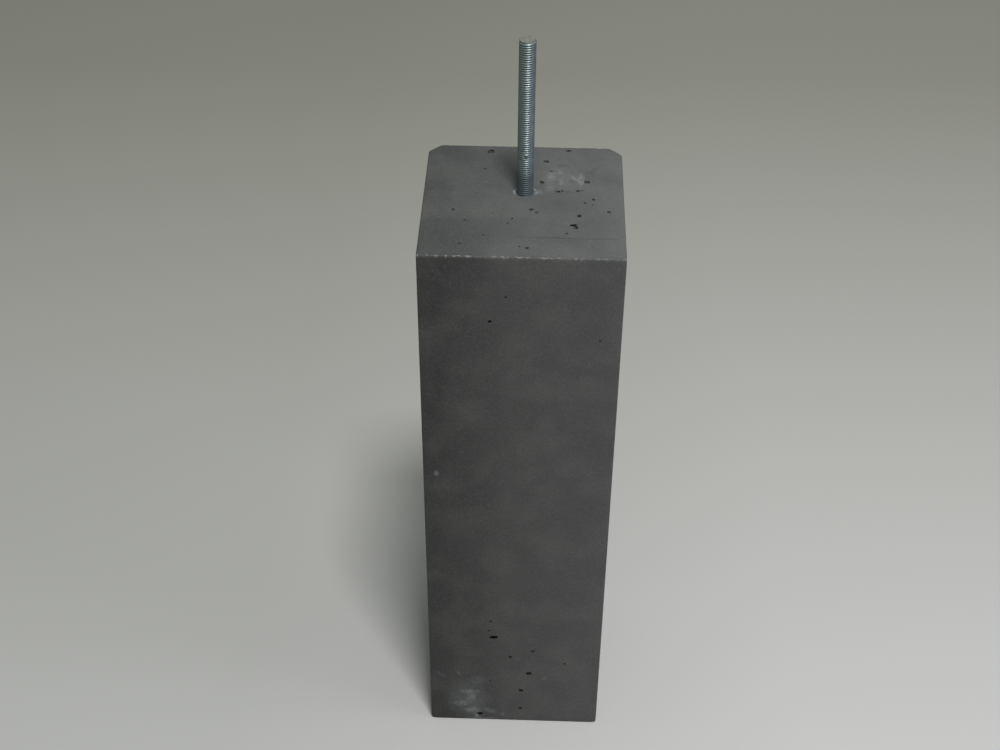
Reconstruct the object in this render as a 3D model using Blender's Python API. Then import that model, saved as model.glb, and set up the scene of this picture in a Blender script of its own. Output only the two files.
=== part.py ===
"""Concrete pier block with a threaded stud cast into its top.

The block is poured lying down in a trough mould. Its back face is the mould's
bottom, where two fillet strips leave the chamfers of the back corners, and its
front face is the open side, which is screeded flat. The stud hangs in the mould's
end plate, so it stands nearer to the back face than to the front one.

Metres, +Z up, front face towards -Y. The origin is the middle of the underside.
"""

import math

import bmesh
import bpy
from mathutils import Vector

# The cast block
BLOCK_WIDTH = 0.145
BLOCK_DEPTH = 0.145
BLOCK_HEIGHT = 0.500
BACK_CHAMFER = 0.009
ARRIS_ROUNDING = 0.0012
ARRIS_SEGMENTS = 2

# The M12 stud, threaded over its whole length
STUD_DIAMETER = 0.012
THREAD_PITCH = 0.00175
STUD_FREE_LENGTH = 0.1225
STUD_CAST_IN_LENGTH = 0.0775
STUD_END_CHAMFER = 0.0009
STUD_FROM_BACK_FACE = 0.064
STUD_OFF_MIDDLE = 0.001
STEPS_PER_TURN = 12
SPARE_TURNS = 2

# The bore that the concrete forms round the stud
CAST_IN_CLEARANCE = 0.0003
BORE_SIDES = 32

# The ISO metric thread: an external one's depth and crest, as shares of its pitch
THREAD_DEPTH_SHARE = 0.6134
THREAD_CREST_SHARE = 0.125

# Finishes, as linear colours
CONCRETE_COLOUR = (0.135, 0.137, 0.131)
CONCRETE_ROUGHNESS = 0.85
ZINC_COLOUR = (0.36, 0.41, 0.42)
ZINC_ROUGHNESS = 0.35

SMOOTH_UP_TO = math.radians(40)
WELD_DISTANCE = 1e-6

STUD_RADIUS = STUD_DIAMETER / 2
THREAD_DEPTH = THREAD_PITCH * THREAD_DEPTH_SHARE
STUD_LENGTH = STUD_FREE_LENGTH + STUD_CAST_IN_LENGTH
STUD_PLACE = Vector(
    (
        STUD_OFF_MIDDLE,
        BLOCK_DEPTH / 2 - STUD_FROM_BACK_FACE,
        BLOCK_HEIGHT - STUD_CAST_IN_LENGTH,
    )
)


def make_material(name, colour, roughness, metallic):
    """A plain finish with the colour that the piece has in daylight."""
    material = bpy.data.materials.new(name)
    material.use_nodes = True
    shader = material.node_tree.nodes["Principled BSDF"]
    shader.inputs["Base Color"].default_value = (*colour, 1.0)
    shader.inputs["Roughness"].default_value = roughness
    shader.inputs["Metallic"].default_value = metallic
    return material


def add_object(name, bm, smooth):
    """Turns a bmesh into a named object, shaded smooth between its sharp edges."""
    mesh = bpy.data.meshes.new(name)
    bm.to_mesh(mesh)
    bm.free()
    if smooth:
        mesh.shade_smooth()
        mesh.set_sharp_from_angle(angle=SMOOTH_UP_TO)
    made = bpy.data.objects.new(name, mesh)
    bpy.context.scene.collection.objects.link(made)
    return made


def bevel(bm, edges, width, segments):
    """Takes a strip of one width off the edges."""
    bmesh.ops.bevel(
        bm,
        geom=edges,
        offset=width,
        offset_type="OFFSET",
        affect="EDGES",
        segments=segments,
        profile=0.5,
        material=-1,
        clamp_overlap=True,
    )


def back_corners(bm):
    """The two upright edges behind, where the mould has its fillet strips."""
    return [
        edge
        for edge in bm.edges
        if edge.calc_length() > BLOCK_HEIGHT / 2
        and all(vert.co.y > 0 for vert in edge.verts)
        and edge.verts[0].co.x == edge.verts[1].co.x
        and edge.verts[0].co.z != edge.verts[1].co.z
    ]


def make_block():
    """The cast body: a square prism with chamfered back corners and soft arrises."""
    bm = bmesh.new()
    bmesh.ops.create_cube(bm, size=1.0)
    bmesh.ops.scale(bm, verts=bm.verts, vec=(BLOCK_WIDTH, BLOCK_DEPTH, BLOCK_HEIGHT))
    bmesh.ops.translate(bm, verts=bm.verts, vec=(0, 0, BLOCK_HEIGHT / 2))
    bevel(bm, back_corners(bm), BACK_CHAMFER, 1)
    bevel(bm, bm.edges[:], ARRIS_ROUNDING, ARRIS_SEGMENTS)
    return add_object("concrete_block", bm, smooth=False)


def make_bore_cutter():
    """The room that the stud takes up in the concrete, open at the top face."""
    bottom = STUD_PLACE.z - CAST_IN_CLEARANCE
    top = BLOCK_HEIGHT + STUD_DIAMETER
    bm = bmesh.new()
    bmesh.ops.create_cone(
        bm,
        cap_ends=True,
        segments=BORE_SIDES,
        radius1=STUD_RADIUS + CAST_IN_CLEARANCE,
        radius2=STUD_RADIUS + CAST_IN_CLEARANCE,
        depth=top - bottom,
    )
    cutter = add_object("stud_bore_cutter", bm, smooth=True)
    cutter.location = (STUD_PLACE.x, STUD_PLACE.y, (top + bottom) / 2)
    cutter.hide_render = True
    cutter.display_type = "WIRE"
    return cutter


def cut_bore(block, cutter):
    """Opens the stud's bore in the block."""
    bore = block.modifiers.new("stud_bore", "BOOLEAN")
    bore.operation = "DIFFERENCE"
    bore.object = cutter


def thread_profile():
    """One pitch of the thread, upwards from root to root, as (radius, height)."""
    crest = THREAD_PITCH * THREAD_CREST_SHARE
    root_radius = STUD_RADIUS - THREAD_DEPTH
    return [
        (root_radius, 0.0),
        (STUD_RADIUS, (THREAD_PITCH - crest) / 2),
        (STUD_RADIUS, (THREAD_PITCH + crest) / 2),
        (root_radius, THREAD_PITCH),
    ]


def wind_thread(bm):
    """Spins the profile up a helix that runs past both ends of the stud."""
    turns = math.ceil(STUD_LENGTH / THREAD_PITCH) + SPARE_TURNS
    points = [bm.verts.new((radius, 0, height)) for radius, height in thread_profile()]
    edges = [bm.edges.new(pair) for pair in zip(points, points[1:])]
    bmesh.ops.spin(
        bm,
        geom=points + edges,
        cent=(0, 0, 0),
        axis=(0, 0, 1),
        dvec=(0, 0, THREAD_PITCH / STEPS_PER_TURN),
        angle=2 * math.pi * turns,
        steps=turns * STEPS_PER_TURN,
    )
    start = -THREAD_PITCH * SPARE_TURNS / 2
    bmesh.ops.translate(bm, verts=bm.verts, vec=(0, 0, start))
    bmesh.ops.remove_doubles(bm, verts=bm.verts, dist=WELD_DISTANCE)


def saw_off(bm, height, away):
    """Cuts the stud square at a height, and closes the cut with a flat end."""
    cut = bmesh.ops.bisect_plane(
        bm,
        geom=bm.verts[:] + bm.edges[:] + bm.faces[:],
        dist=WELD_DISTANCE,
        plane_co=(0, 0, height),
        plane_no=(0, 0, away),
        clear_outer=True,
    )
    rim = [item for item in cut["geom_cut"] if isinstance(item, bmesh.types.BMEdge)]
    bmesh.ops.edgeloop_fill(bm, edges=rim)


def turn_end_chamfer(bm):
    """Brings the last threads of the free end inside a 45 degree cone."""
    end_radius = STUD_RADIUS - STUD_END_CHAMFER
    for vert in bm.verts:
        radius = vert.co.xy.length
        allowed = end_radius + (STUD_LENGTH - vert.co.z)
        if radius > allowed:
            vert.co.xy *= allowed / radius


def make_stud():
    """The threaded stud, sawn square at its foot and chamfered at its free end."""
    bm = bmesh.new()
    wind_thread(bm)
    saw_off(bm, 0.0, away=-1)
    saw_off(bm, STUD_LENGTH, away=1)
    turn_end_chamfer(bm)
    bmesh.ops.recalc_face_normals(bm, faces=bm.faces)
    stud = add_object("threaded_stud", bm, smooth=True)
    stud.location = STUD_PLACE
    return stud


def main():
    for old in list(bpy.data.objects):
        bpy.data.objects.remove(old)
    block = make_block()
    cut_bore(block, make_bore_cutter())
    stud = make_stud()
    concrete = make_material(
        "anthracite_concrete", CONCRETE_COLOUR, CONCRETE_ROUGHNESS, metallic=0.0
    )
    zinc = make_material(
        "zinc_plated_steel", ZINC_COLOUR, ZINC_ROUGHNESS, metallic=1.0
    )
    block.data.materials.append(concrete)
    stud.data.materials.append(zinc)


main()
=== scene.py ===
"""Concrete pier block with a threaded stud cast into its top: its looks."""

import math
import random

import bmesh
import bpy
from mathutils import Matrix, Vector, noise


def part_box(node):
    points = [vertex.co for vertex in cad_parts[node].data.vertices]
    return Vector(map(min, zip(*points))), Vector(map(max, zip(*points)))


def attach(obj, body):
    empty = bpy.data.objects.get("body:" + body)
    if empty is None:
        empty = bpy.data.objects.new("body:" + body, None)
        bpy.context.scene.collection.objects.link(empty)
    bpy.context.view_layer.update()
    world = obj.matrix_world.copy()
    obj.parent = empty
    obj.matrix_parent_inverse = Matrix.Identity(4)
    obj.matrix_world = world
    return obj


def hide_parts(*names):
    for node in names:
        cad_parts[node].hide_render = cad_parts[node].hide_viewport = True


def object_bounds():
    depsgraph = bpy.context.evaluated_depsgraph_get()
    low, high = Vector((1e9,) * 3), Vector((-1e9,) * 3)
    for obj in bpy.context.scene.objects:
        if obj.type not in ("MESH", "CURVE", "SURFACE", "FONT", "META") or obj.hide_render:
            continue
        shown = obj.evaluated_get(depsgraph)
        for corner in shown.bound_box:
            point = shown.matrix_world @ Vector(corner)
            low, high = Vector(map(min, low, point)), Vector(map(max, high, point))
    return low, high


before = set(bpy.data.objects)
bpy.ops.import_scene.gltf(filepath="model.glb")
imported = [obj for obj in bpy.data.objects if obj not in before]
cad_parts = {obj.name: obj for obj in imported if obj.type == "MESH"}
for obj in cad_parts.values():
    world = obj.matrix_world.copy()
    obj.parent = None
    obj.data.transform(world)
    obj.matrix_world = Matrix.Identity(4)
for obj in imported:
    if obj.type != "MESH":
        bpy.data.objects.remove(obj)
cad_low, cad_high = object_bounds()


# Setting: a plain pale floor under a window lamp high in front of the block, with a
# weak lamp from the right and a dim room, which keeps the plated steel dark.

FLOOR_SIZE = 14.0
FLOOR_LEFT = "#DDDDDA"
# Painted light: the floor is paler on its right side
FLOOR_PAINTED_LIGHT_RIGHT = "#F2F1F0"
FLOOR_BEHIND = "#B0AF9F"
FLOOR_SIDES_MEET = 0.25
FLOOR_DARKENS_FROM = -0.1
FLOOR_DARKEST_AT = 1.1
FLOOR_DARKEST_SHARE = 0.8
FLOOR_ROUGHNESS = 0.8
ROOM_TONE = "#8D918F"
WALL_GLOW = 0.30
CEILING_GLOW = 0.95
CEILING_FROM = 0.3

# The camera, from a fit to the photograph, with its place in metres
SENSOR_WIDTH = 36
PHOTO_LENS = 56.95
PHOTO_PLACE = (0.0115, -0.9575, 1.1261)
PHOTO_YAW = math.radians(1.65)
PHOTO_PITCH = math.radians(39.53)
PHOTO_ROLL = math.radians(0.37)

# Lamps: name, place, the point that it faces, side in metres and power in watts
LAMPS = [
    ("window", (0.28, -1.02, 2.95), (0.0, 0.0, 0.35), 0.5, 42),
    ("side_lamp", (2.2, -0.5, 1.9), (0.0, 0.0, 0.2), 1.2, 7),
]


def linear(hex_colour):
    """A colour written as sRGB hex, as the linear values that nodes take."""
    channels = [int(hex_colour[first : first + 2], 16) / 255 for first in (1, 3, 5)]
    return tuple(
        part / 12.92 if part <= 0.04045 else ((part + 0.055) / 1.055) ** 2.4
        for part in channels
    ) + (1.0,)


def add_node(tree, kind, inputs=None, **settings):
    """Adds a node. Each input is given a value, or the socket that feeds it."""
    made = tree.nodes.new(kind)
    for name, value in settings.items():
        setattr(made, name, value)
    for name, value in (inputs or {}).items():
        if isinstance(value, bpy.types.NodeSocket):
            tree.links.new(value, made.inputs[name])
        else:
            made.inputs[name].default_value = value
    return made


def new_material(name):
    """An empty node material, with its tree, shader and Object coordinates."""
    material = bpy.data.materials.new(name)
    material.use_nodes = True
    tree = material.node_tree
    shader = tree.nodes["Principled BSDF"]
    place = add_node(tree, "ShaderNodeTexCoord").outputs["Object"]
    return material, tree, shader, place


def fade(tree, place, axis, start, end, least=0.0, most=1.0):
    """A share that rises from least to most between two places on an axis."""
    along = add_node(tree, "ShaderNodeSeparateXYZ", {"Vector": place}).outputs[axis]
    limits = {"From Min": start, "From Max": end, "To Min": least, "To Max": most}
    return add_node(tree, "ShaderNodeMapRange", {"Value": along, **limits}).outputs["Result"]


def layered(tree, ground, layers):
    """Colours laid over a ground one after another, each by its own share."""
    tone = ground
    for share, colour in layers:
        tone = add_node(
            tree, "ShaderNodeMix", {0: share, 6: tone, 7: linear(colour)}, data_type="RGBA"
        ).outputs[2]
    return tone


def finished_object(name, bm, smooth_up_to):
    """Turns a bmesh into an object at the origin, smooth between sharp edges."""
    mesh = bpy.data.meshes.new(name)
    bm.to_mesh(mesh)
    bm.free()
    mesh.shade_smooth()
    mesh.set_sharp_from_angle(angle=smooth_up_to)
    made = bpy.data.objects.new(name, mesh)
    bpy.context.scene.collection.objects.link(made)
    return made


def make_floor():
    """A matt floor, paler on its right side by a painted light, and darker behind the block."""
    bm = bmesh.new()
    bmesh.ops.create_grid(bm, x_segments=1, y_segments=1, size=FLOOR_SIZE / 2)
    floor = finished_object("floor", bm, math.pi)
    material, tree, shader, place = new_material("pale_matt_floor")
    # Painted light: paler towards the right
    painted_light_rightwards = fade(tree, place, "X", -FLOOR_SIDES_MEET, FLOOR_SIDES_MEET)
    reach = (FLOOR_DARKENS_FROM, FLOOR_DARKEST_AT)
    backwards = fade(tree, place, "Y", *reach, most=FLOOR_DARKEST_SHARE)
    layers = [(painted_light_rightwards, FLOOR_PAINTED_LIGHT_RIGHT), (backwards, FLOOR_BEHIND)]
    tone = layered(tree, linear(FLOOR_LEFT), layers)
    tree.links.new(tone, shader.inputs["Base Color"])
    shader.inputs["Roughness"].default_value = FLOOR_ROUGHNESS
    floor.data.materials.append(material)


def make_camera():
    """The camera that took the photograph, as fitted to the object's edges."""
    camera = bpy.data.objects.new("camera", bpy.data.cameras.new("camera"))
    camera.data.lens = PHOTO_LENS
    camera.data.sensor_width = SENSOR_WIDTH
    camera.matrix_world = (
        Matrix.Translation(PHOTO_PLACE)
        @ Matrix.Rotation(PHOTO_YAW, 4, "Z")
        @ Matrix.Rotation(math.pi / 2 - PHOTO_PITCH, 4, "X")
        @ Matrix.Rotation(PHOTO_ROLL, 4, "Z")
    )
    bpy.context.scene.collection.objects.link(camera)
    bpy.context.scene.camera = camera


def make_lamp(name, place, aim, size, power):
    """A square soft light that faces a point."""
    data = bpy.data.lights.new(name, "AREA")
    data.size = size
    data.energy = power
    lamp = bpy.data.objects.new(name, data)
    lamp.location = place
    lamp.rotation_euler = (Vector(aim) - Vector(place)).to_track_quat("-Z", "Y").to_euler()
    bpy.context.scene.collection.objects.link(lamp)


def make_room():
    """A dim room whose ceiling is lit, fading towards the walls."""
    world = bpy.data.worlds.new("room")
    world.use_nodes = True
    tree = world.node_tree
    towards = add_node(tree, "ShaderNodeTexCoord").outputs["Generated"]
    ceiling = fade(tree, towards, "Z", CEILING_FROM, 1.0, WALL_GLOW, CEILING_GLOW)
    tree.nodes["Background"].inputs["Color"].default_value = linear(ROOM_TONE)
    tree.links.new(ceiling, tree.nodes["Background"].inputs["Strength"])
    bpy.context.scene.world = world
    bpy.context.scene.view_settings.view_transform = "Standard"
    for lamp in LAMPS:
        make_lamp(*lamp)


make_floor()
make_camera()
make_room()


# Concrete block: one casting of concrete pigmented anthracite, poured lying on
# its back in a trough mould. Its skin holds air voids, its arrises are worn and
# chipped, and lime and cement paste have left pale marks on it.

MM = 0.001
SKIN_CELLS = 48
CHAMFER_CELLS = 3
SKIN_STEP = 3 * MM
CUT_TOLERANCE = 0.01 * MM
ARRIS_ANGLE = math.radians(30)
ARRIS_ROUNDING = 1.0 * MM
ARRIS_SEGMENTS = 3
HALF_WIDTH = cad_high.x
FRONT = cad_low.y
BACK = cad_high.y
BLOCK_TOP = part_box("concrete_block")[1].z
BACK_CHAMFER = 2 * HALF_WIDTH * CHAMFER_CELLS / SKIN_CELLS
DIAGONAL = math.sqrt(0.5)
CONCRETE_SLOT, VOID_SLOT, CHIP_SLOT, PASTE_SLOT = range(4)

# Wear: the faint waves of the flat faces, how deep the arrises, the corners and the
# chamfers' edges are rubbed, and how far that reaches into the faces beside them
WAVE_LENGTH = 48 * MM
WAVE_HEIGHT = 0.10 * MM
RIPPLE_LENGTH = 13 * MM
RIPPLE_HEIGHT = 0.035 * MM
ARRIS_RUB = 0.10 * MM
ARRIS_RUB_UNEVEN = 0.22 * MM
ARRIS_RUB_LENGTH = 6 * MM
ARRIS_REACH = 2.6 * MM
CORNER_RUB = 0.9 * MM
CORNER_REACH = 4 * MM
TOP_CORNER_SHARE = 0.25
CHAMFER_EDGE_RUB = 0.2 * MM
CHAMFER_EDGE_REACH = 3 * MM

# The faces, each as its origin and the directions that its places are given in
FACES = {
    "top": ((0, 0, BLOCK_TOP), (1, 0, 0), (0, 1, 0)),
    "underside": ((0, 0, 0), (1, 0, 0), (0, -1, 0)),
    "front": ((0, FRONT, 0), (1, 0, 0), (0, 0, 1)),
    "back": ((0, BACK, 0), (-1, 0, 0), (0, 0, 1)),
    "right": ((HALF_WIDTH, 0, 0), (0, 1, 0), (0, 0, 1)),
    "left": ((-HALF_WIDTH, 0, 0), (0, -1, 0), (0, 0, 1)),
}

# Air voids that the photograph shows: across, along, width and length in mm
TOP_VOIDS = [
    (-25.3, 64.0, 4.8, 4.4),
    (32.7, 67.0, 3.6, 2.8),
    (16.0, 51.5, 4.8, 3.2),
    (12.9, 22.9, 3.4, 3.8),
    (46.2, 24.2, 4.6, 3.6),
    (25.0, 11.0, 2.6, 2.4),
    (28.0, 12.5, 1.8, 1.6),
    (39.3, 12.5, 3.0, 2.4),
    (42.2, 13.0, 1.6, 1.2),
    (50.3, 1.6, 2.4, 2.8),
    (44.3, -3.3, 1.7, 1.9),
    (61.1, -14.2, 2.4, 2.8),
    (5.7, -13.3, 3.4, 3.2),
    (-49.8, -15.0, 2.3, 2.4),
    (-40.8, -28.2, 1.8, 2.2),
    (-7.6, -24.9, 1.9, 1.8),
    (40.0, -19.8, 3.4, 4.0),
    (36.0, -32.0, 5.6, 3.6),
    (37.4, -34.8, 3.8, 4.0),
    (31.1, -42.3, 2.0, 1.8),
    (-1.8, -59.1, 1.7, 1.9),
    (3.7, -61.1, 2.7, 3.0),
    (19.8, 38.1, 2.4, 1.7),
    (-29.1, 39.7, 1.8, 1.5),
    (49.6, -5.6, 1.6, 1.6),
    (9.7, -16.7, 2.2, 2.6),
    (-21.5, -18.6, 1.3, 1.3),
    (-10.5, -30.9, 1.7, 1.7),
    (-27.3, -46.2, 1.8, 1.8),
    (-43.1, -57.3, 1.8, 2.2),
    (-33.8, 7.4, 0.9, 0.9),
]
FRONT_VOIDS = [
    (-21.5, 443.8, 2.7, 2.9),
    (-10.4, 465.6, 1.8, 2.2),
    (-18.0, 108.9, 7.4, 4.8),
    (-3.6, 84.5, 2.3, 3.8),
    (15.2, 92.5, 3.3, 2.6),
    (17.8, 94.3, 1.2, 1.1),
    (42.5, 77.4, 1.9, 2.4),
    (12.3, 63.8, 5.0, 5.2),
    (5.9, 40.8, 4.2, 3.4),
    (-29.3, 7.7, 5.0, 4.8),
    (-20.7, 52.5, 1.5, 1.6),
    (-20.4, 129.1, 2.3, 2.1),
    (-22.0, 117.4, 1.8, 2.2),
    (5.5, 16.8, 2.9, 4.0),
    (56.9, 428.7, 1.5, 1.9),
    (66.8, 266.6, 1.0, 1.4),
    (47.1, 101.7, 1.0, 1.0),
]

# Pale chips along the front arris of the top: place across and length in mm
TOP_ARRIS_CHIPS = [
    (-72.1, 2.0), (-64.5, 1.6), (-58.3, 3.2), (-51.5, 1.8), (-46.0, 3.6),
    (-42.8, 1.4), (-36.4, 4.4), (-18.6, 3.0), (-12.5, 3.2), (-9.8, 1.2),
    (-2.6, 2.4), (-0.2, 3.6), (4.6, 1.6), (14.9, 2.6), (18.3, 3.4),
    (21.0, 1.4), (26.4, 1.6), (38.0, 3.0), (41.4, 1.6), (53.0, 1.6),
    (57.8, 2.6), (71.4, 2.4),
]

# Nicks down the front's right arris: height and length in mm
RIGHT_ARRIS_CHIPS = [
    (6, 5), (31, 4), (54, 10), (66, 5), (92, 3), (121, 4), (153, 7), (197, 7),
    (228, 3), (262, 5), (301, 3), (336, 6), (372, 3), (409, 5), (447, 6), (478, 4),
]

# Chips: which way the top's face, how deep they bite, in mm and as a share of their
# length, where their middles lie beside the arris, and their width to their bite
TOP_CHIP_OUT = (0, -0.5, 0.87)
TOP_CHIP_BITE = 0.34
TOP_CHIP_BITE_SHARE = 0.08
TOP_CHIP_IN = 0.3 * MM
TOP_CHIP_UP = 0.05 * MM
RIGHT_CHIP_BITE = 0.85
RIGHT_CHIP_BITE_SHARE = 0.07
CHIP_SINK = 0.15 * MM
CHIP_WIDTH_SHARE = 1.25
CHIP_UNEVEN = 0.75
FIRST_CHIP_SEED = 40
FIRST_FRONT_SEED = 60

# Seeded voids and chips where the photograph shows none, with chip sizes in mm
HIDDEN_VOIDS = {"back": 26, "left": 22, "right": 22, "underside": 10}
HIDDEN_SPREAD = 0.85
HOLLOW_SEED = 12
VOID_MARGIN = 7 * MM
SMALLEST_VOID = 0.9 * MM
LARGEST_VOID = 5.0 * MM
PLAIN_CHIPS_PER_ARRIS = 9
PLAIN_CHIP_LENGTHS = (1.5, 6.0)
PLAIN_CHIP_BITES = (0.4, 0.95)
SHARE_OF_STRETCH = (0.1, 0.9)
LENGTH_TO_WIDTH = (0.6, 1.2)
SEED_RANGE = 90

# A void's depth as a share of its width plus length, and the sum of the two past
# which its lump is finer. Then, as shares of its depth and half width, how far its
# middle is sunk and the half sizes of its lump, and how uneven that is.
VOID_DEPTH_SHARE = 0.42
LARGE_VOID = 4 * MM
VOID_SINK_SHARE = 0.24
VOID_BELLY_SHARE = 1.1
VOID_HALF_DEPTH_SHARE = 0.6
VOID_UNEVEN = 0.5

# The noise that makes a lump uneven: how fine it is, and where each seed finds its own
LUMP_FINENESS = 1.6
LUMP_SEED_STEPS = (3.7, 1.3, 2.1)


def face_matrix(face):
    """The matrix whose X and Y run across and along a face, with Z outwards."""
    origin, across, along = FACES[face]
    outward = Vector(across).cross(Vector(along))
    turn = Matrix((across, along, outward)).transposed().to_4x4()
    return Matrix.Translation(origin) @ turn


def make_cast_body():
    """The square prism that left the mould, its skin cut into a fine net."""
    bm = bmesh.new()
    bmesh.ops.create_grid(
        bm, x_segments=SKIN_CELLS, y_segments=SKIN_CELLS, size=HALF_WIDTH
    )
    for side in (-1, 1):
        bmesh.ops.bisect_plane(
            bm,
            geom=bm.verts[:] + bm.edges[:] + bm.faces[:],
            dist=CUT_TOLERANCE,
            plane_co=(side * HALF_WIDTH, BACK - BACK_CHAMFER, 0),
            plane_no=(side, 1, 0),
            clear_outer=True,
        )
    grown = bmesh.ops.extrude_face_region(bm, geom=bm.faces[:], use_keep_orig=True)
    raised = [item for item in grown["geom"] if isinstance(item, bmesh.types.BMVert)]
    bmesh.ops.translate(bm, verts=raised, vec=(0, 0, BLOCK_TOP))
    tall = [edge for edge in bm.edges if edge.calc_length() > BLOCK_TOP / 2]
    bmesh.ops.subdivide_edges(bm, edges=tall, cuts=round(BLOCK_TOP / SKIN_STEP) - 1)
    bmesh.ops.recalc_face_normals(bm, faces=bm.faces)
    bmesh.ops.bevel(
        bm,
        geom=[edge for edge in bm.edges if edge.calc_face_angle(0) > ARRIS_ANGLE],
        offset=ARRIS_ROUNDING,
        offset_type="OFFSET",
        affect="EDGES",
        segments=ARRIS_SEGMENTS,
        profile=0.5,
        material=-1,
        clamp_overlap=True,
    )
    return bm


def face_gaps(point):
    """How far a point lies inside each pair of faces, the nearest first."""
    return sorted(
        (
            HALF_WIDTH - abs(point.x),
            min(point.y - FRONT, BACK - point.y),
            min(point.z, BLOCK_TOP - point.z),
        )
    )


def chamfer_edge_distance(point):
    """How far a point is from the nearer edge of its back chamfer."""
    beside = HALF_WIDTH - abs(point.x)
    behind = BACK - point.y
    return min(
        math.hypot(beside - BACK_CHAMFER, behind),
        math.hypot(beside, behind - BACK_CHAMFER),
    )


def wear_skin(bm):
    """Gives the flat faces a faint wave, and rubs down the arrises and corners."""
    bm.normal_update()
    moves = []
    for vert in bm.verts:
        point = vert.co
        wave = WAVE_HEIGHT * noise.noise(point / WAVE_LENGTH) - WAVE_HEIGHT
        wave += RIPPLE_HEIGHT * noise.noise(point / RIPPLE_LENGTH + Vector((7, 3, 1)))
        arris_gap, corner_gap = face_gaps(point)[1:]
        near_arris = max(0.0, 1 - arris_gap / ARRIS_REACH)
        uneven = max(0.0, noise.noise(point / ARRIS_RUB_LENGTH + Vector((2, 9, 4))))
        rubbed = near_arris * (ARRIS_RUB + ARRIS_RUB_UNEVEN * uneven)
        near_corner = max(0.0, 1 - corner_gap / CORNER_REACH) * near_arris
        corner_share = 1.0 if point.z < BLOCK_TOP / 2 else TOP_CORNER_SHARE
        rubbed += near_corner * corner_share * CORNER_RUB
        near_chamfer = max(0.0, 1 - chamfer_edge_distance(point) / CHAMFER_EDGE_REACH)
        rubbed += near_chamfer * CHAMFER_EDGE_RUB
        moves.append(vert.normal * (wave * (1 - near_arris) - rubbed))
    for vert, move in zip(bm.verts, moves):
        inside = zip(vert.co + move, cad_low, cad_high)
        vert.co = [max(low, min(high, value)) for value, low, high in inside]


def add_lump(bm, matrix, size, detail, uneven, slot, seed):
    """An irregular closed lump: the shape of a void, or of what a chip took off."""
    made = bmesh.ops.create_icosphere(bm, subdivisions=detail, radius=1.0)
    offset = Vector([seed * step for step in LUMP_SEED_STEPS])
    for vert in made["verts"]:
        swell = 1 + uneven * noise.noise(vert.co * LUMP_FINENESS + offset)
        vert.co = matrix @ Vector(
            [part * half * swell for part, half in zip(vert.co, size)]
        )
        for face in vert.link_faces:
            face.material_index = slot


def add_void(bm, face, across, along, width, length, seed):
    """An air void: wider below the skin than at its mouth."""
    depth = VOID_DEPTH_SHARE * (width + length)
    sunk = Matrix.Translation((across, along, -VOID_SINK_SHARE * depth))
    detail = 3 if width + length > LARGE_VOID else 2
    belly = VOID_BELLY_SHARE / 2
    half = (width * belly, length * belly, depth * VOID_HALF_DEPTH_SHARE)
    add_lump(bm, face_matrix(face) @ sunk, half, detail, VOID_UNEVEN, VOID_SLOT, seed)


def add_chip(bm, place, along, out, length, bite, slot, seed):
    """A chip off an arris, shallow and long, centred near the edge."""
    side = Vector(out).cross(Vector(along))
    turn = Matrix((along, side, out)).transposed().to_4x4()
    matrix = Matrix.Translation(place) @ turn
    half = (length / 2, bite * CHIP_WIDTH_SHARE, bite)
    add_lump(bm, matrix, half, 2, CHIP_UNEVEN, slot, seed)


def add_photographed_voids(cutters):
    """The air voids of the top and the front."""
    for number, void in enumerate(TOP_VOIDS):
        add_void(cutters[number % 2], "top", *[part * MM for part in void], seed=number)
    for number, void in enumerate(FRONT_VOIDS):
        seed = FIRST_FRONT_SEED + number
        add_void(cutters[number % 2], "front", *[part * MM for part in void], seed=seed)


def add_top_arris_chips(cutters):
    """Shallow chips that face up more than they face forward."""
    out = Vector(TOP_CHIP_OUT).normalized()
    for number, (across, length) in enumerate(TOP_ARRIS_CHIPS):
        place = (across * MM, FRONT + TOP_CHIP_IN, BLOCK_TOP + TOP_CHIP_UP)
        bite = (TOP_CHIP_BITE + TOP_CHIP_BITE_SHARE * length) * MM
        seed = FIRST_CHIP_SEED + number
        add_chip(
            cutters[number % 2], place, (1, 0, 0), out, length * MM, bite, CHIP_SLOT, seed
        )


def add_right_arris_chips(cutters):
    """Nicks that show as a ragged outline, in the tone of the skin."""
    out = Vector((DIAGONAL, -DIAGONAL, 0))
    for number, (height, length) in enumerate(RIGHT_ARRIS_CHIPS):
        place = Vector((HALF_WIDTH, FRONT, height * MM)) - out * CHIP_SINK
        bite = (RIGHT_CHIP_BITE + RIGHT_CHIP_BITE_SHARE * length) * MM
        add_chip(
            cutters[number % 2], place, (0, 0, 1), out, length * MM, bite, CONCRETE_SLOT, number
        )


def arrises():
    """The arrises with seeded chips: one end, the run to the other, and outwards."""
    left = -HALF_WIDTH
    right = HALF_WIDTH
    across = (2 * HALF_WIDTH, 0, 0)
    deep = (0, BACK - FRONT, 0)
    out = DIAGONAL
    return [
        ((left, FRONT, 0), (0, 0, BLOCK_TOP), (-out, -out, 0)),
        ((left, FRONT, 0), across, (0, -out, -out)),
        ((left, BACK, 0), across, (0, out, -out)),
        ((left, BACK, BLOCK_TOP), across, (0, out, out)),
        ((left, FRONT, 0), deep, (-out, 0, -out)),
        ((right, FRONT, 0), deep, (out, 0, -out)),
        ((left, FRONT, BLOCK_TOP), deep, (-out, 0, out)),
        ((right, FRONT, BLOCK_TOP), deep, (out, 0, out)),
    ]


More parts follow.
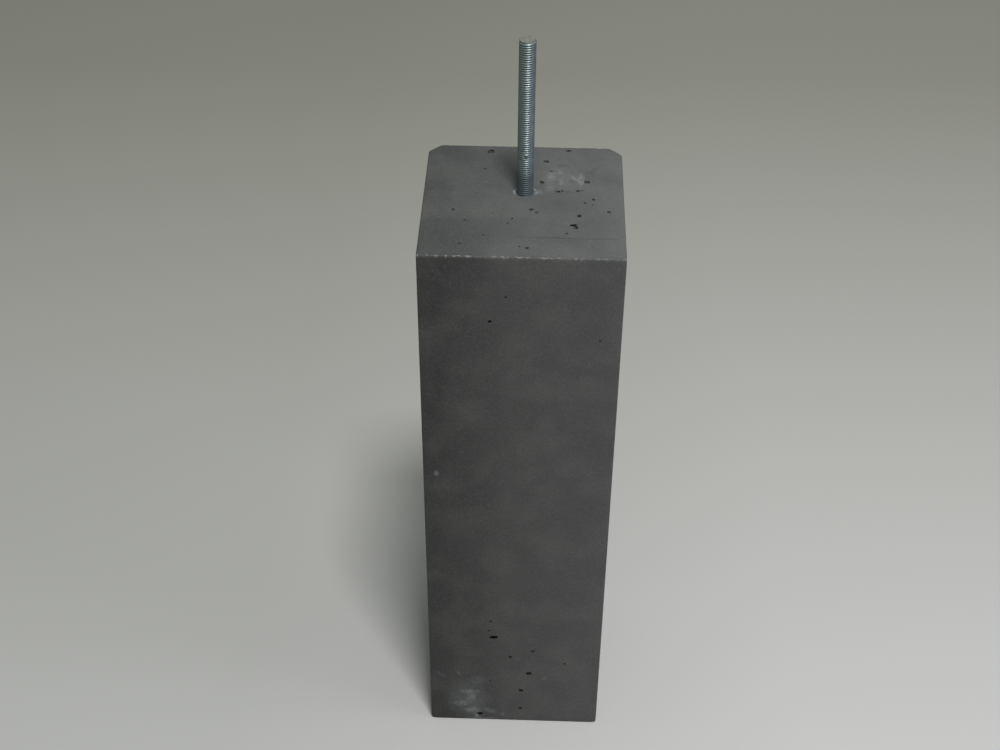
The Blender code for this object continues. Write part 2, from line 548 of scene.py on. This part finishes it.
def add_plain_chips(cutters, dice):
    """Seeded chips along the other arrises, one in each equal stretch."""
    for start, run, out in arrises():
        count = round(PLAIN_CHIPS_PER_ARRIS * (1 + Vector(run).length / BLOCK_TOP))
        for number in range(count):
            share = (number + dice.uniform(*SHARE_OF_STRETCH)) / count
            place = Vector(start) + share * Vector(run) - Vector(out) * CHIP_SINK
            length = dice.uniform(*PLAIN_CHIP_LENGTHS) * MM
            bite = dice.uniform(*PLAIN_CHIP_BITES) * MM
            along = Vector(run).normalized()
            seed = dice.random() * SEED_RANGE
            add_chip(cutters[number % 2], place, along, out, length, bite, CONCRETE_SLOT, seed)


def add_hidden_voids(cutters, dice):
    """Seeded air voids, most of them small, on the faces turned away."""
    widest = HALF_WIDTH - VOID_MARGIN
    for face, count in HIDDEN_VOIDS.items():
        for number in range(count):
            across = dice.uniform(-widest, widest) * HIDDEN_SPREAD
            along = dice.uniform(VOID_MARGIN, BLOCK_TOP - VOID_MARGIN)
            if face == "underside":
                along = dice.uniform(FRONT + VOID_MARGIN, BACK - VOID_MARGIN)
            width = SMALLEST_VOID + (LARGEST_VOID - SMALLEST_VOID) * dice.random() ** 3
            length = width * dice.uniform(*LENGTH_TO_WIDTH)
            seed = dice.random() * SEED_RANGE
            add_void(cutters[number % 2], face, across, along, width, length, seed)


def make_hollows():
    """The voids and the chips, in two cutters that take turns."""
    dice = random.Random(HOLLOW_SEED)
    cutters = [bmesh.new(), bmesh.new()]
    add_photographed_voids(cutters)
    add_top_arris_chips(cutters)
    add_right_arris_chips(cutters)
    add_plain_chips(cutters, dice)
    add_hidden_voids(cutters, dice)
    return [finished_object("hollows", bm, math.pi) for bm in cutters]


# Paste round the stud's foot: a low rim that squeezed up where the stud was set,
# broken in front, and the bore in which the concrete grips the thread. The rim's
# drop and rise are shares of its height, and its bed a share of its half width.

stud_low, stud_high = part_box("threaded_stud")
STUD_X = (stud_low.x + stud_high.x) / 2
STUD_Y = (stud_low.y + stud_high.y) / 2
WELD = 0.001 * MM
GRIP_RADIUS = 5.7 * MM
GRIP_OPENING = 10 * MM
GRIP_SIDES = 64
RIM_MIDDLE = 7.9 * MM
RIM_HALF_WIDTH = 1.2 * MM
RIM_HEIGHT = 1.6 * MM
RIM_DROP = 1.13
RIM_RISE_BEHIND = 0.6
RIM_EVEN_SHARE = 0.95
RIM_RAGGED_SHARE = 0.3
RIM_BED = 0.55
RIM_SPREAD = 0.05
RIM_SIDES = 16
RIM_STEPS = 96
CUT_EDGE_ANGLE = math.radians(34)


def rim_height(angle):
    """The rim stands beside the stud and behind it, and sinks away in front."""
    rise = abs(math.cos(angle)) * (1 + RIM_RISE_BEHIND * math.sin(angle))
    lumps = noise.noise(Vector((3 * math.cos(angle), 3 * math.sin(angle), 5)))
    ragged = RIM_EVEN_SHARE + RIM_RAGGED_SHARE * lumps
    return RIM_HEIGHT * (rise * ragged - RIM_DROP)


def make_paste_rim():
    """A ring of round section, raised and lowered along its course."""
    bm = bmesh.new()
    made = bmesh.ops.create_circle(bm, segments=RIM_SIDES, radius=1.0)
    section = Matrix.Translation((RIM_MIDDLE, 0, 0)) @ Matrix.Rotation(math.pi / 2, 4, "X")
    section = section @ Matrix.Diagonal((RIM_HALF_WIDTH, RIM_HALF_WIDTH, 1, 1))
    bmesh.ops.transform(bm, verts=made["verts"], matrix=section)
    bmesh.ops.spin(
        bm,
        geom=bm.verts[:] + bm.edges[:],
        cent=(0, 0, 0),
        axis=(0, 0, 1),
        dvec=(0, 0, 0),
        angle=2 * math.pi,
        steps=RIM_STEPS,
        use_merge=True,
    )
    bmesh.ops.remove_doubles(bm, verts=bm.verts, dist=WELD)
    for vert in bm.verts:
        angle = math.atan2(vert.co.y, vert.co.x)
        spread = noise.noise(Vector((2 * math.cos(angle), 2 * math.sin(angle), 1)))
        vert.co.xy *= 1 + RIM_SPREAD * spread
        vert.co.z += rim_height(angle) - RIM_BED * RIM_HALF_WIDTH
    for face in bm.faces:
        face.material_index = PASTE_SLOT
    bmesh.ops.recalc_face_normals(bm, faces=bm.faces)
    bmesh.ops.translate(bm, verts=bm.verts, vec=(STUD_X, STUD_Y, BLOCK_TOP))
    return finished_object("paste_rim", bm, math.pi)


def make_grip_bore():
    """The bore's cutter. It is narrower than the thread's crests, which it grips."""
    bm = bmesh.new()
    depth = BLOCK_TOP - stud_low.z + GRIP_OPENING
    bmesh.ops.create_cone(
        bm,
        cap_ends=True,
        segments=GRIP_SIDES,
        radius1=GRIP_RADIUS,
        radius2=GRIP_RADIUS,
        depth=depth,
    )
    middle = BLOCK_TOP + GRIP_OPENING - depth / 2
    bmesh.ops.translate(bm, verts=bm.verts, vec=(STUD_X, STUD_Y, middle))
    for face in bm.faces:
        face.material_index = PASTE_SLOT
    return finished_object("grip_bore", bm, math.pi)


def cut_and_join(body, steps):
    """Applies Booleans in turn; each leaves the cut faces in their own slot."""
    for operation, other in steps:
        modifier = body.modifiers.new(other.name, "BOOLEAN")
        modifier.operation = operation
        modifier.object = other
        modifier.solver = "MANIFOLD"
    graph = bpy.context.evaluated_depsgraph_get()
    mesh = bpy.data.meshes.new_from_object(body.evaluated_get(graph))
    body.modifiers.clear()
    body.data = mesh
    for _, other in steps:
        bpy.data.objects.remove(other)
    mesh.shade_smooth()
    mesh.set_sharp_from_angle(angle=CUT_EDGE_ANGLE)


# Cast anthracite concrete: a dense, matt cement skin. It is a dark, slightly warm
# grey with faint clouds and a fine sand grain, darker towards its left side by a
# painted shade and paler towards its right side by a painted light. Paste and lime
# are smeared over it in places, and its arrises are worn pale. The front was the open
# side of the mould, finished with a screed; it is darker than the other faces by a
# painted shade. The sand's real grain is under half a millimetre: it is drawn
# coarser, so that it shows.

# Painted shade towards the block's left side
CONCRETE_PAINTED_SHADE_LEFT = "#464746"
CONCRETE_MID = "#656665"
# Painted light towards the block's right side
CONCRETE_PAINTED_LIGHT_RIGHT = "#6C6D6D"
CONCRETE_GRAIN = "#80817D"
LIME = "#A2A9AC"
STAIN = "#3C3D3B"
WORN_ARRIS = "#A4A49E"
# Painted shade over the front face, and how strong it is
FRONT_PAINTED_SHADE = "#101010"
FRONT_PAINTED_SHADE_SHARE = 0.28
# Where the painted shade on the left starts, where it is darkest, and its share on the top
LEFT_SHADE_FROM = -8 * MM
LEFT_SHADE_DARKEST_AT = -58 * MM
LEFT_SHADE_SHARE_ON_TOP = 0.7
CLOUD_SIZE = 34 * MM
SAND_GRAIN = 0.9 * MM
SAND_RELIEF = 0.12 * MM
MARK_DEPTH = 3 * MM
SPOT_CORE = 0.35
WHOLE_FACE = (1, 1, MARK_DEPTH)
SCUFF_SIZE = 3 * MM
ARRIS_SPECK = 0.8 * MM
GRAIN_STRENGTH = 0.4

# Ragged edges: the size of their lumps, and how far they wander
TONE_EDGE = (40 * MM, 30 * MM)
MARK_EDGE = (6 * MM, 5 * MM)
ARRIS_EDGE = (2 * MM, 1.4 * MM)

# What broken concrete shows: the dull lining of a void, darker than the skin by a
# painted shade in the hollow, the pale powder of a fresh chip, and the dry cement
# paste round the stud, each with a dark and a pale tone, the size of its grain, and
# its roughness
# Painted shade: the void's lining is darker than the skin
SHADED_VOID_LINING = ("void_lining_painted_shade", "#3E3E3B", "#62625E", 1.0 * MM, 0.9)
FRESH_CHIP = ("fresh_chip", "#6C6C68", "#9E9E98", 0.6 * MM, 0.9)
CEMENT_PASTE = ("cement_paste", "#6E7170", "#A9ACAB", 1.4 * MM, 0.8)
BROKEN_RELIEF = 0.2 * MM

# The worn front arris of the top, in mm: its place, the half width of what shows, how
# far that runs past each chip, and how strong it is at a chip and between chips
ARRIS_LINE = FRONT / MM + 0.6
ARRIS_HALF_WIDTH = 0.8
ARRIS_PAST_CHIP = 1.0
ARRIS_AT_CHIP = 0.6
ARRIS_BETWEEN = ("top", 0, ARRIS_LINE, 200, 0.9, 0, 0.2)

# Marks on the skin. Each has its face, the place of its middle across and along, half
# its length and width in mm, its turn in degrees, and how strongly it shows.
LIME_MARKS = [
    ("top", 0.0, 0.0, 400.0, 400.0, 0, 0.03),
    ("top", 27.6, 30.6, 16.0, 24.0, 0, 0.10),
    ("top", 19.4, 31.9, 4.2, 8.0, 0, 0.22),
    ("top", 18.9, 14.9, 5.2, 6.2, 0, 0.20),
    ("top", 26.7, 23.3, 2.2, 5.2, 0, 0.20),
    ("top", 26.7, 37.2, 4.4, 5.2, 0, 0.18),
    ("top", 37.0, 28.6, 7.0, 2.0, -50, 0.38),
    ("top", 41.4, 26.4, 12.5, 2.8, -90, 0.30),
    ("top", 11.4, 9.6, 4.4, 5.0, 0, 0.22),
    ("front", -47.5, 61.3, 5.0, 2.4, -60, 0.15),
    ("front", -63.0, 59.8, 7.0, 3.4, -40, 0.11),
    ("front", -38.6, 38.0, 11.0, 4.2, 0, 0.28),
    ("front", -37.3, 30.3, 7.4, 5.0, 70, 0.24),
    ("front", -44.6, 22.2, 10.4, 5.0, 0, 0.22),
    ("front", -39.0, 25.9, 21.0, 27.0, 0, 0.20),
    ("front", -31.7, 52.8, 10.0, 8.0, 0, 0.14),
    ("front", -35.7, 13.0, 9.4, 6.4, 0, 0.30),
    ("front", -31.9, 5.3, 2.2, 3.4, 0, 0.60),
    ("front", -20.7, 12.9, 7.6, 4.4, -20, 0.22),
    ("front", -9.5, 8.1, 2.8, 3.0, 0, 0.22),
    ("front", -28.2, 2.2, 17.0, 1.3, 0, 0.45),
    ("front", -62.8, 296.6, 3.2, 3.6, 0, 0.45),
    ("front", 26.4, 58.1, 3.6, 3.4, 0, 0.13),
    ("front", 3.0, 82.0, 3.4, 2.4, 40, 0.06),
]
STAIN_MARKS = [
    ("top", 23.2, 23.2, 2.2, 2.6, 0, 0.26),
    ("top", 27.3, 45.9, 7.4, 3.4, 0, 0.26),
    ("top", 30.0, 11.0, 11.0, 1.8, 0, 0.36),
    ("top", 24.6, 11.2, 3.2, 4.4, 0, 0.40),
    ("top", 34.0, 24.3, 3.2, 3.8, 0, 0.30),
    ("top", 50.1, 39.4, 9.0, 3.4, 51, 0.20),
    ("top", 25.0, -48.3, 30.0, 1.8, 0, 0.40),
    ("top", 57.0, -48.0, 14.0, 1.5, 0, 0.30),
    ("top", 31.0, -51.6, 17.0, 1.0, 0, 0.22),
    ("front", -53.6, 9.6, 6.0, 5.0, 0, 0.12),
    ("front", -66.2, 24.7, 3.6, 6.0, 0, 0.10),
    ("front", 8.0, 20.0, 14.0, 9.0, 10, 0.06),
]


def patches(tree, place, size, low, high, least=0.0, most=1.0):
    """Irregular patches whose lumps have a size in metres, from least to most."""
    noisy = add_node(
        tree, "ShaderNodeTexNoise", {"Vector": place, "Scale": 1 / size, "Detail": 3.0}
    ).outputs["Fac"]
    limits = {"From Min": low, "From Max": high, "To Min": least, "To Max": most}
    return add_node(tree, "ShaderNodeMapRange", {"Value": noisy, **limits}).outputs["Result"]


def ragged_place(tree, place, size, reach):
    """Coordinates that wander, so that what is drawn with them has ragged edges."""
    wander = add_node(
        tree, "ShaderNodeTexNoise", {"Vector": place, "Scale": 1 / size, "Detail": 2.0}
    ).outputs["Color"]
    centred = add_node(
        tree, "ShaderNodeVectorMath", {0: wander, 1: (0.5, 0.5, 0.5)}, operation="SUBTRACT"
    ).outputs[0]
    return add_node(
        tree,
        "ShaderNodeVectorMath",
        {0: centred, 1: (reach, reach, reach), 2: place},
        operation="MULTIPLY_ADD",
    ).outputs[0]


def spot(tree, place, face, middle, half_sizes, turn, strength):
    """An ellipse on a face, at full strength in its core and gone at its edge."""
    matrix = face_matrix(face) @ Matrix.Translation(Vector(middle) * MM)
    matrix = matrix @ Matrix.Rotation(math.radians(turn), 4, "Z")
    local = add_node(
        tree,
        "ShaderNodeMapping",
        {
            "Vector": place,
            "Location": matrix.translation,
            "Rotation": matrix.to_euler(),
            "Scale": half_sizes,
        },
        vector_type="TEXTURE",
    ).outputs["Vector"]
    distance = add_node(
        tree, "ShaderNodeVectorMath", {0: local}, operation="LENGTH"
    ).outputs["Value"]
    limits = {"From Min": 1.0, "From Max": SPOT_CORE, "To Min": 0.0, "To Max": strength}
    return add_node(tree, "ShaderNodeMapRange", {"Value": distance, **limits}).outputs["Result"]


def marks_together(tree, place, marks):
    """The marks of one kind, added up."""
    total = None
    for face, across, along, half_length, half_width, turn, strength in marks:
        half_sizes = (half_length * MM, half_width * MM, MARK_DEPTH)
        share = spot(tree, place, face, (across, along, 0), half_sizes, turn, strength)
        if total is None:
            total = share
        else:
            total = add_node(
                tree, "ShaderNodeMath", {0: total, 1: share}, operation="ADD"
            ).outputs[0]
    return total


def worn_arris_share(tree, place):
    """Pale specks on the front arris of the top, gathered where it is chipped."""
    ragged = ragged_place(tree, place, *ARRIS_EDGE)
    marks = []
    for across, length in TOP_ARRIS_CHIPS:
        half = length / 2 + ARRIS_PAST_CHIP
        marks.append(("top", across, ARRIS_LINE, half, ARRIS_HALF_WIDTH, 0, ARRIS_AT_CHIP))
    marks.append(ARRIS_BETWEEN)
    specks = patches(tree, place, ARRIS_SPECK, 0.46, 0.56)
    return add_node(
        tree,
        "ShaderNodeMath",
        {0: marks_together(tree, ragged, marks), 1: specks},
        operation="MULTIPLY",
    ).outputs[0]


def dress(tree, shader, tone, roughness, place, grain_size, relief):
    """Gives a shader its colour and roughness, and a fine grain in relief."""
    tree.links.new(tone, shader.inputs["Base Color"])
    tree.links.new(roughness, shader.inputs["Roughness"])
    grain = patches(tree, place, grain_size, 0.0, 1.0)
    bump = add_node(
        tree,
        "ShaderNodeBump",
        {"Height": grain, "Strength": GRAIN_STRENGTH, "Distance": relief},
    )
    tree.links.new(bump.outputs["Normal"], shader.inputs["Normal"])


def make_concrete_material():
    """The skin: its tones one over another, the smeared and worn ones on top."""
    material, tree, shader, place = new_material("cast_anthracite_concrete")
    ragged = ragged_place(tree, place, *MARK_EDGE)
    wandering = ragged_place(tree, place, *TONE_EDGE)
    # Painted shade: darker towards the left side, and less so on the top
    left_shade = add_node(
        tree,
        "ShaderNodeMath",
        {
            0: fade(tree, wandering, "X", LEFT_SHADE_FROM, LEFT_SHADE_DARKEST_AT),
            1: fade(tree, place, "Z", BLOCK_TOP - 2 * MM, BLOCK_TOP, 1.0, LEFT_SHADE_SHARE_ON_TOP),
        },
        operation="MULTIPLY",
    ).outputs[0]
    middle = (0, BLOCK_TOP / 2 / MM, 0)
    # Painted shade: the whole front face a little darker
    front_shade = spot(tree, place, "front", middle, WHOLE_FACE, 0, FRONT_PAINTED_SHADE_SHARE)
    scuffs = patches(tree, place, SCUFF_SIZE, 0.34, 0.62, 0.5, 1.2)
    lime = add_node(
        tree,
        "ShaderNodeMath",
        {0: marks_together(tree, ragged, LIME_MARKS), 1: scuffs},
        operation="MULTIPLY",
    ).outputs[0]
    tone = layered(
        tree,
        linear(CONCRETE_MID),
        [
            # Painted shade on the left side, then painted light on the right side
            (left_shade, CONCRETE_PAINTED_SHADE_LEFT),
            (fade(tree, wandering, "X", 0, HALF_WIDTH), CONCRETE_PAINTED_LIGHT_RIGHT),
            (front_shade, FRONT_PAINTED_SHADE),
            (patches(tree, place, CLOUD_SIZE, 0.45, 0.75, 0, 0.25), CONCRETE_GRAIN),
            (patches(tree, place, CLOUD_SIZE, 0.55, 0.25, 0, 0.25), STAIN),
            (patches(tree, place, SAND_GRAIN, 0.52, 0.78, 0, 0.4), CONCRETE_GRAIN),
            (patches(tree, place, SAND_GRAIN, 0.48, 0.25, 0, 0.35), STAIN),
            (marks_together(tree, ragged, STAIN_MARKS), STAIN),
            (lime, LIME),
            (worn_arris_share(tree, place), WORN_ARRIS),
        ],
    )
    roughness = patches(tree, place, CLOUD_SIZE, 0.3, 0.7, 0.72, 0.9)
    dress(tree, shader, tone, roughness, place, SAND_GRAIN, SAND_RELIEF)
    return material


def make_broken_material(name, dark, pale, grain_size, roughness):
    """Broken or bare cement, matt, in two tones that follow a coarse grain."""
    material, tree, shader, place = new_material(name)
    grain = patches(tree, place, grain_size, 0.35, 0.65)
    tone = layered(tree, linear(dark), [(grain, pale)])
    matt = patches(tree, place, grain_size, 0.3, 0.7, roughness - 0.1, roughness)
    dress(tree, shader, tone, matt, place, grain_size, BROKEN_RELIEF)
    return material


def make_block():
    """The casting, with its paste rim, the stud's bore and all its hollows."""
    bm = make_cast_body()
    wear_skin(bm)
    block = finished_object("pier_block", bm, math.pi)
    rim = make_paste_rim()
    bore = make_grip_bore()
    hollows = make_hollows()
    slots = [
        make_concrete_material(),
        make_broken_material(*SHADED_VOID_LINING),
        make_broken_material(*FRESH_CHIP),
        make_broken_material(*CEMENT_PASTE),
    ]
    for shape in (block, rim, bore, *hollows):
        for material in slots:
            shape.data.materials.append(material)
    steps = [("UNION", rim), ("DIFFERENCE", bore)]
    steps += [("DIFFERENCE", cutter) for cutter in hollows]
    cut_and_join(block, steps)
    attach(block, "root")
    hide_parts("concrete_block")


make_block()


# Threaded stud: M12 steel rod with a rolled thread, sawn to length and chamfered at
# its free end. The concrete was poured round its lower part, and holds it.

# The ISO metric thread, its depth and its crest's width worked out from its pitch
THREAD_PITCH = 1.75 * MM
THREAD_DEPTH = 0.6134 * THREAD_PITCH
CREST_WIDTH = THREAD_PITCH / 8
STUD_RADIUS = (stud_high.x - stud_low.x) / 2
STUD_LENGTH = stud_high.z - stud_low.z
END_CHAMFER = 0.9 * MM
STEPS_PER_TURN = 48
SPARE_TURNS = 2
SAW_TOLERANCE = 0.0001 * MM
ROOT_LIFT = 0.03 * MM
ROOT_REACH = 0.10 * MM
CREST_ROUNDING = 0.05 * MM
CREST_EDGE_SHARE = 0.62
CREST_FLAT_SHARE = 0.3
THREAD_EDGE_ANGLE = math.radians(28)

# Zinc plating, blue passivated: a satin metal under a thin film. Its colour goes from
# green on the stud's left to blue on its right: a painted reflection. The film scatters
# light, so the metallic share is a low one. Cement dulls the stud's foot, and its sawn
# end is bare, greyer steel. The flecks of the plating are drawn coarser than they are,
# so that they show.
# Painted reflection: green on the stud's left, blue on its right
ZINC_GREEN_PAINTED_REFLECTION = "#95A59C"
ZINC_BLUE_PAINTED_REFLECTION = "#748191"
ZINC_PALE = "#A2ACAC"
ZINC_DULL = "#6C7876"
# The tone of the dark spots on the stud
ZINC_DARK_SPOT = "#1C2422"
ZINC_PASTE = "#525E66"
SAWN_PALE = "#9C9D95"
SAWN_DARK = "#6F716C"
ZINC_METALLIC = 0.4
ZINC_SMOOTHEST = 0.36
ZINC_ROUGHEST = 0.5
ZINC_CLOUD = 7 * MM
ZINC_FLECK = 1.2 * MM
ZINC_RELIEF = 0.04 * MM
DULL_METALLIC_CHANGE = -0.3
DULL_ROUGHNESS_CHANGE = 0.15
SAWN_GRAIN = 1.6 * MM
SAWN_DEPTH = 0.4 * MM
FOOT_FILM = 28 * MM
FOOT_FILM_SHARE = 0.8
DARK_SPOT_REACH = 5 * MM

# Dark spots on the stud: place across, height above the block, half size, strength
STUD_DARK_SPOTS = [(0.6, 33.0, 2.0, 0.95), (-4.4, 31.0, 1.6, 0.5), (-2.6, 38.0, 1.2, 0.3)]


def thread_profile():
    """One pitch from root to root, with a rounded root and rolled crest."""
    root = STUD_RADIUS - THREAD_DEPTH
    rounded = STUD_RADIUS - CREST_ROUNDING
    middle = THREAD_PITCH / 2
    edge = CREST_WIDTH * CREST_EDGE_SHARE
    flat = CREST_WIDTH * CREST_FLAT_SHARE
    return [
        (root, 0),
        (root + ROOT_LIFT, ROOT_REACH),
        (rounded, middle - edge),
        (STUD_RADIUS, middle - flat),
        (STUD_RADIUS, middle + flat),
        (rounded, middle + edge),
        (root + ROOT_LIFT, THREAD_PITCH - ROOT_REACH),
        (root, THREAD_PITCH),
    ]


def saw_off(bm, height, away):
    """Cuts the rod square at a height, and closes the cut with a flat end."""
    cut = bmesh.ops.bisect_plane(
        bm,
        geom=bm.verts[:] + bm.edges[:] + bm.faces[:],
        dist=SAW_TOLERANCE,
        plane_co=(0, 0, height),
        plane_no=(0, 0, away),
        clear_outer=True,
    )
    rim = [item for item in cut["geom_cut"] if isinstance(item, bmesh.types.BMEdge)]
    bmesh.ops.edgeloop_fill(bm, edges=rim)


def wind_thread(bm, turns):
    """One turn of the thread, spun up its helix, then doubled until there are enough."""
    points = [bm.verts.new((radius, 0, height)) for radius, height in thread_profile()]
    edges = [bm.edges.new(pair) for pair in zip(points, points[1:])]
    bmesh.ops.spin(
        bm,
        geom=points + edges,
        cent=(0, 0, 0),
        axis=(0, 0, 1),
        dvec=(0, 0, THREAD_PITCH / STEPS_PER_TURN),
        angle=2 * math.pi,
        steps=STEPS_PER_TURN,
    )
    wound = 1
    while wound < turns:
        copied = bmesh.ops.duplicate(bm, geom=bm.verts[:] + bm.edges[:] + bm.faces[:])
        raised = [item for item in copied["geom"] if isinstance(item, bmesh.types.BMVert)]
        bmesh.ops.translate(bm, verts=raised, vec=(0, 0, wound * THREAD_PITCH))
        wound *= 2
    bmesh.ops.remove_doubles(bm, verts=bm.verts, dist=WELD)
    bmesh.ops.translate(bm, verts=bm.verts, vec=(0, 0, -THREAD_PITCH))


def make_stud_mesh():
    """The rod, sawn square at both ends, its free end turned to a 45 degree cone."""
    bm = bmesh.new()
    wind_thread(bm, turns=math.ceil(STUD_LENGTH / THREAD_PITCH) + SPARE_TURNS)
    saw_off(bm, 0, -1)
    saw_off(bm, STUD_LENGTH, 1)
    end_radius = STUD_RADIUS - END_CHAMFER
    for vert in bm.verts:
        allowed = end_radius + (STUD_LENGTH - vert.co.z)
        radius = vert.co.xy.length
        if radius > allowed:
            vert.co.xy *= allowed / radius
    bmesh.ops.recalc_face_normals(bm, faces=bm.faces)
    bmesh.ops.translate(bm, verts=bm.verts, vec=(STUD_X, STUD_Y, stud_low.z))
    return bm


def make_zinc_material():
    """The plating, painted from green to blue across as a reflection, with the dull film on its
    foot, dark spots and a sawn end.
    """
    material, tree, shader, place = new_material("zinc_plated_steel")
    film_top = BLOCK_TOP + FOOT_FILM
    foot = fade(tree, place, "Z", film_top, film_top - FOOT_FILM / 2, 0, FOOT_FILM_SHARE)
    end = fade(tree, place, "Z", stud_high.z - SAWN_DEPTH, stud_high.z - SAWN_DEPTH / 2)
    sawn = add_node(
        tree,
        "ShaderNodeMath",
        {0: end, 1: patches(tree, place, SAWN_GRAIN, 0.42, 0.62, 0, 0.8)},
        operation="MULTIPLY",
    ).outputs[0]
    # Painted reflection: green on the stud's left, blue on its right
    layers = [
        (fade(tree, place, "X", STUD_X - STUD_RADIUS, STUD_X + STUD_RADIUS), ZINC_BLUE_PAINTED_REFLECTION),
        (patches(tree, place, ZINC_CLOUD, 0.4, 0.7, 0, 0.6), ZINC_PALE),
        (patches(tree, place, ZINC_FLECK, 0.5, 0.75, 0, 0.7), ZINC_DULL),
    ]
    for across, height, size, strength in STUD_DARK_SPOTS:
        middle = (STUD_X / MM + across, (STUD_Y - STUD_RADIUS) / MM, height)
        half_sizes = (size * MM, DARK_SPOT_REACH, size * MM)
        share = spot(tree, place, "top", middle, half_sizes, 0, strength)
        layers.append((share, ZINC_DARK_SPOT))
    layers += [(foot, ZINC_PASTE), (end, SAWN_PALE), (sawn, SAWN_DARK)]
    tone = layered(tree, linear(ZINC_GREEN_PAINTED_REFLECTION), layers)
    dull = add_node(tree, "ShaderNodeMath", {0: foot, 1: end}, operation="ADD").outputs[0]
    plated = patches(tree, place, ZINC_FLECK, 0.3, 0.7, ZINC_SMOOTHEST, ZINC_ROUGHEST)
    roughness = add_node(
        tree,
        "ShaderNodeMath",
        {0: dull, 1: DULL_ROUGHNESS_CHANGE, 2: plated},
        operation="MULTIPLY_ADD",
    ).outputs[0]
    metal = add_node(
        tree,
        "ShaderNodeMath",
        {0: dull, 1: DULL_METALLIC_CHANGE, 2: ZINC_METALLIC},
        operation="MULTIPLY_ADD",
    ).outputs[0]
    tree.links.new(metal, shader.inputs["Metallic"])
    dress(tree, shader, tone, roughness, place, ZINC_FLECK, ZINC_RELIEF)
    return material


def make_stud():
    """The plated stud, in its place in the block."""
    stud = finished_object("plated_stud", make_stud_mesh(), THREAD_EDGE_ANGLE)
    stud.data.materials.append(make_zinc_material())
    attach(stud, "root")
    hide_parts("threaded_stud")


make_stud()
